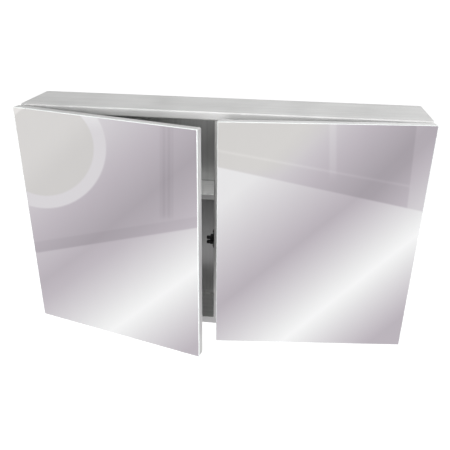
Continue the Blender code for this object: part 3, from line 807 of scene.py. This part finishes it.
# mirror plate: the outline is carried from the back, up the ground edge and over a quarter-round arris to
# the face; along the arris the inset is its radius times (1 - cos) and the rise its radius times sin
def makeMirror(word):
    low, high = doorBox(word, word + "_mirror_glass")
    arris = glassShape["arris"]
    chamfer = glassShape["rearChamfer"]
    sweep = np.linspace(0.0, math.pi / 2, glassShape["arrisSteps"] + 1)
    inset = np.concatenate([[chamfer, 0.0], arris * (1.0 - np.cos(sweep))])
    depth = np.concatenate([[low[1], low[1] + chamfer], high[1] - arris + arris * np.sin(sweep)])
    across, tall = roundedLoop(
        (low[0], low[2]), (high[0], high[2]), glassShape["corner"], inset[:, None], glassShape["perCorner"])
    local = np.stack([across, np.broadcast_to(depth[:, None], across.shape), tall], axis=-1)
    mesh = shellMesh(word + "Mirror", onDoor(word, local))
    slots = np.ones(len(mesh.polygons), dtype=np.int32)
    slots[-2:] = 0    # the face and the back are silvered, the rest is ground
    mesh.polygons.foreach_set("material_index", slots)
    node = word + "_mirror_glass"
    addPiece(word + "Mirror", mesh, [silvered, ground], word + "_door", node)


# a turned shape: radii and heights of a profile carried round an axis, on the directions a, b and out
def turnedPoints(centre, axes, radii, heights, columns):
    angle = np.arange(columns) * 2.0 * math.pi / columns
    a = radii[:, None] * np.cos(angle)
    b = radii[:, None] * np.sin(angle)
    out = np.broadcast_to(heights[:, None], a.shape)
    return centre + a[..., None] * axes[0] + b[..., None] * axes[1] + out[..., None] * axes[2]


screwShape = {
    "rows": 22,
    "columns": 96,
    "foot": 0.96,
    "rim": 0.72,
    "roundness": 2.2,
    "tip": 0.02,
    "armHalf": 0.00034,
    "armReach": 0.00135,
    "depth": 0.0007,
    "soft": 0.0001,
}


# pan-head screw: a dome whose height falls by rim times radius to the power of its roundness, less a cross
# whose two arms fade out at their ends and sides by eased steps
def makeScrew(word, level):
    node = f"{word}_catch_{level}_screw"
    low, high = (np.array(corner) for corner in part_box(node))
    sign = sideSign[word]
    centre = (low + high) / 2.0
    centre[0] = low[0] if sign > 0 else high[0]
    head = (high[1] - low[1]) / 2.0
    height = high[0] - low[0]
    rim = screwShape["rim"]
    t = np.linspace(1.0, screwShape["tip"], screwShape["rows"])
    radii = np.concatenate([[head * screwShape["foot"], head], head * t[1:]])
    dome = height * (1.0 - np.concatenate([[1.0, rim], rim * t[1:] ** screwShape["roundness"]]))
    angle = np.arange(screwShape["columns"]) * 2.0 * math.pi / screwShape["columns"]
    a = radii[:, None] * np.cos(angle)
    b = radii[:, None] * np.sin(angle)
    half, reach, soft = (screwShape[key] for key in ("armHalf", "armReach", "soft"))
    armA = smooth(half + soft, half - soft, np.abs(a)) * smooth(reach + soft, reach - 2 * soft, np.abs(b))
    armB = smooth(half + soft, half - soft, np.abs(b)) * smooth(reach + soft, reach - 2 * soft, np.abs(a))
    out = dome[:, None] - screwShape["depth"] * np.maximum(armA, armB)
    points = np.stack([centre[0] + sign * out, centre[1] + a, centre[2] + b], axis=-1)
    name = f"{word}CatchScrew{level.capitalize()}"
    addPiece(name, shellMesh(name, points), [looks["black_screw"]], "cabinet", node)


rollerShape = {
    "columns": 48,
    "steps": 40,
    "bore": 0.0013,
    "crown": 0.00018,
    "groove": 0.00022,
    "grooveWidth": 0.00022,
    "grooveAt": 0.42,
    "endRound": 0.00035,
    "endStart": 0.86,
}


# roller: a barrel, fullest in its middle by crown times t^2, with two narrow grooves, each a bell curve, and
# ends rounded off by a squared eased step, round an open bore
def makeRoller(word, level):
    node = f"{word}_{level}_roller"
    low, high = (np.array(corner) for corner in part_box(node))
    centre = (low + high) / 2.0
    half = (high[0] - low[0]) / 2.0
    full = (high[2] - low[2]) / 2.0
    t = np.linspace(-1.0, 1.0, rollerShape["steps"] + 1)
    grooves = np.exp(-((np.abs(t) - rollerShape["grooveAt"]) * half / rollerShape["grooveWidth"]) ** 2)
    ends = rollerShape["endRound"] * smooth(rollerShape["endStart"], 1.0, np.abs(t)) ** 2
    barrel = full - rollerShape["crown"] * t ** 2 - rollerShape["groove"] * grooves - ends
    radii = np.concatenate([[rollerShape["bore"]], barrel, [rollerShape["bore"]]])
    heights = np.concatenate([[-half], half * t, [half]])
    axes = np.array([[0.0, 1.0, 0.0], [0.0, 0.0, 1.0], [1.0, 0.0, 0.0]])
    points = turnedPoints(centre, axes, radii, heights, rollerShape["columns"])
    name = f"{word}Roller{level.capitalize()}"
    mesh = shellMesh(name, points, closeRows=True)
    addPiece(name, mesh, [looks["roller_nylon"]], node, node)


# profiles of the turned buttons on a door, as shares of their radius and height
bumperShape = {
    "columns": 40,
    "profile": [(1.0, 0.0), (1.0, 0.22), (0.97, 0.34), (0.90, 0.42), (0.84, 0.50), (0.80, 0.68),
                (0.72, 0.84), (0.56, 0.95), (0.34, 0.99), (0.02, 1.0)],
}
rivetShape = {
    "columns": 32,
    "profile": [(1.0, 0.0), (0.99, 0.22), (0.94, 0.45), (0.82, 0.68), (0.62, 0.86), (0.38, 0.96),
                (0.02, 1.0)],
}


# button on the back of a door: its profile times the node's own radius and height, facing the casing
def makeDoorButton(word, node, name, shape):
    low, high = doorBox(word, node)
    radius = (high[0] - low[0]) / 2.0
    height = high[1] - low[1]
    share = np.array(shape["profile"])
    axes = doorFrame(word)[1]
    centre = onDoor(word, np.array([(low[0] + high[0]) / 2.0, high[1], (low[2] + high[2]) / 2.0]))
    turn = np.stack([axes[0], axes[2], -axes[1]])
    points = turnedPoints(centre, turn, radius * share[:, 0], height * share[:, 1], shape["columns"])
    slot = slotOf[node]
    addPiece(name, shellMesh(name, points), [looks[slot]], word + "_door", node)


# leafStart is where the flat of the door leaf begins, and leafFront how far behind the pin the casing leaf's
# face lies
hingeFixing = {
    "count": 9,
    "edge": 0.026,
    "radius": 0.0021,
    "height": 0.00045,
    "fromPin": 0.0092,
    "columns": 24,
    "leafStart": 0.006,
    "leafFront": 0.0011,
}


# a row of low rivet heads up one leaf of the continuous hinge: one turned dome, copied to each level
def makeHingeRivets(word, onDoorLeaf):
    pin, axes = doorFrame(word)
    low, high = doorBox(word, word + "_hinge_door_leaf")
    levels = np.linspace(low[2] + hingeFixing["edge"], high[2] - hingeFixing["edge"], hingeFixing["count"])
    if onDoorLeaf:
        local = doorPoints(word, word + "_hinge_door_leaf")
        face = local[local[:, 0] > hingeFixing["leafStart"]][:, 1].min()
        turn = np.stack([axes[0], axes[2], -axes[1]])
        root = pin + axes[0] * hingeFixing["fromPin"] + axes[1] * face
        body, name = word + "_door", word + "HingeDoorRivets"
    else:
        turn = np.array([[1.0, 0.0, 0.0], [0.0, 0.0, 1.0], [0.0, -1.0, 0.0]])
        across = pin[0] - sideSign[word] * hingeFixing["fromPin"]
        root = np.array([across, pin[1] + hingeFixing["leafFront"], 0.0])
        body, name = "cabinet", word + "HingeCaseRivets"
    share = np.array(rivetShape["profile"])
    dome = turnedPoints(np.zeros(3), turn, hingeFixing["radius"] * share[:, 0],
                        hingeFixing["height"] * share[:, 1], hingeFixing["columns"])
    one = shellMesh("rivet", dome)
    faces = [list(face.vertices) for face in one.polygons]
    bpy.data.meshes.remove(one)
    centres = root + np.stack([np.zeros_like(levels), np.zeros_like(levels), levels], axis=-1)
    every = (dome.reshape(1, -1, 3) + centres[:, None, :]).reshape(-1, 3)
    step = dome.shape[0] * dome.shape[1]
    allFaces = [[corner + copy * step for corner in face] for copy in range(len(levels)) for face in faces]
    mesh = bpy.data.meshes.new(name)
    mesh.from_pydata(every, [], allFaces)
    addPiece(name, mesh, [looks["hinge_steel"]], body)


seamShape = {
    "radius": 0.00055,
    "sink": 0.00025,
    "inset": 0.0011,
    "frontGap": 0.0022,
    "rearGap": 0.0006,
    "taper": 0.0008,
    "thinnest": 0.01,
    "columns": 10,
    "steps": 90,
    "ripple": 0.12,
    "ripplesPerMetre": 520.0,
}


# ground weld along each outer corner of the casing: a round bead whose radius is 1 plus ripple times a sine
# of its length, and dies away at both ends by a square root
def makeCornerSeams():
    low, high = (np.array(corner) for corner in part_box("top_panel"))
    foot = np.array(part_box("bottom_panel")[0])
    along = np.linspace(low[1] + seamShape["frontGap"], high[1] - seamShape["rearGap"], seamShape["steps"])
    swell = 1.0 + seamShape["ripple"] * np.sin(along * seamShape["ripplesPerMetre"] * 2.0 * math.pi)
    toEnd = np.minimum(along - along[0], along[-1] - along)
    taper = np.sqrt(np.clip(toEnd / seamShape["taper"], seamShape["thinnest"], 1.0))
    radius = seamShape["radius"] * swell * taper
    angle = np.arange(seamShape["columns"]) * 2.0 * math.pi / seamShape["columns"]
    length = np.broadcast_to(along[:, None], (len(along), len(angle)))
    heights = (("Upper", high[2] - seamShape["inset"]), ("Lower", foot[2] + seamShape["inset"]))
    for word in ("left", "right"):
        x = sideSign[word] * (high[0] - seamShape["sink"])
        for level, z in heights:
            points = np.stack([
                x + radius[:, None] * np.cos(angle), length, z + radius[:, None] * np.sin(angle)], axis=-1)
            name = f"{word}{level}CornerSeam"
            addPiece(name, shellMesh(name, points), [steelUpright], "cabinet")


for word in ("left", "right"):
    makeMirror(word)
    for level in ("upper", "lower"):
        title = level.capitalize()
        makeScrew(word, level)
        makeRoller(word, level)
        makeDoorButton(word, f"{word}_{level}_bumper", f"{word}Bumper{title}", bumperShape)
        makeDoorButton(word, f"{word}_strike_{level}_rivet", f"{word}StrikeRivet{title}", rivetShape)
    makeHingeRivets(word, True)
    makeHingeRivets(word, False)
makeCornerSeams()
print("pieces made")
